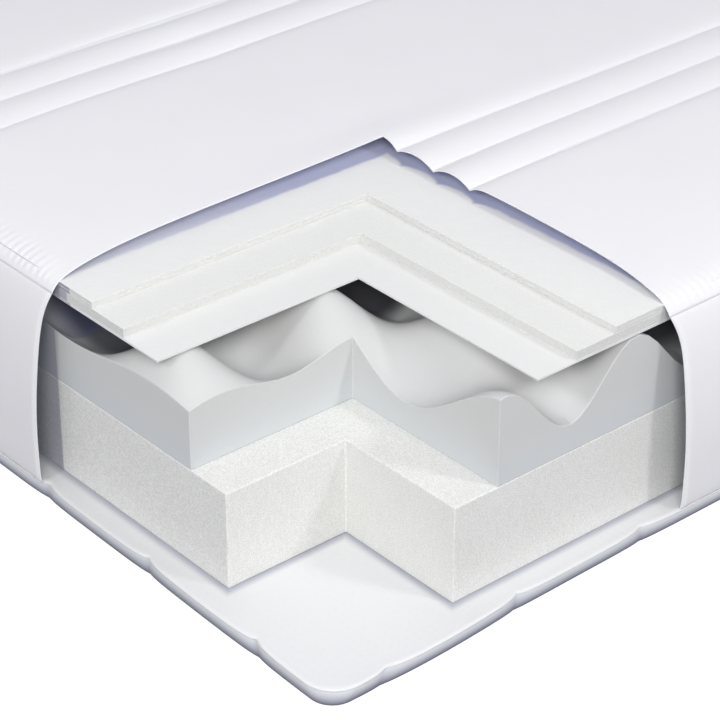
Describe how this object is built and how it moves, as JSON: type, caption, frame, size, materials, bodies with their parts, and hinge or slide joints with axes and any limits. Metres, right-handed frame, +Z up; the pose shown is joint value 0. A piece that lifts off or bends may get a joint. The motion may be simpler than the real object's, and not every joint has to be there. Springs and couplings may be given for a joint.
{
  "type": "memory foam mattress",
  "caption": "Rectangular layered foam mattress in a quilted knit cover, with a corner cut back in steps to show its layers.",
  "frame": {"origin": "centre of the mattress's footprint, on the surface that it lies on", "axes": "+X along the length, +Y across the width, +Z up; the cut corner is at +X -Y"},
  "size_m": [1.9, 1.4, 0.235],
  "materials": {
    "cover_knit": "white double-knit, matt, faintly blue",
    "base_knit": "white knit, matt",
    "base_lining": "smooth white lining with a faint dotted weave",
    "wadding": "white polyester fibre",
    "support_foam": "off-white open-cell foam with fine speckle",
    "wave_foam": "smooth light grey foam, cooler towards its base",
    "memory_foam": "off-white foam with fine speckle",
    "felt": "off-white felt",
    "separator": "smooth white fleece",
    "scrim": "thin white non-woven",
    "thread": "white polyester thread"
  },
  "bodies": {
    "root": {"base_fabric": "base_knit", "base_wadding": "wadding", "base_lining": "base_lining", "base_foam": "support_foam", "wave_foam": "wave_foam", "separator_lower": "separator", "separator_upper": "separator", "foam_scrim": "scrim", "memory_foam_sheet": "memory_foam", "comfort_felt_lower": "felt", "comfort_felt_upper": "felt", "top_backing": "scrim", "top_wadding": "wadding", "cover_top_panel": "cover_knit", "cover_border": "cover_knit", "top_seam_thread": "thread", "base_seam_thread": "thread", "quilting_seams_1": "thread", "quilting_seams_2": "thread", "quilting_seams_3": "thread", "quilting_seams_4": "thread"}
  },
  "joints": []
}
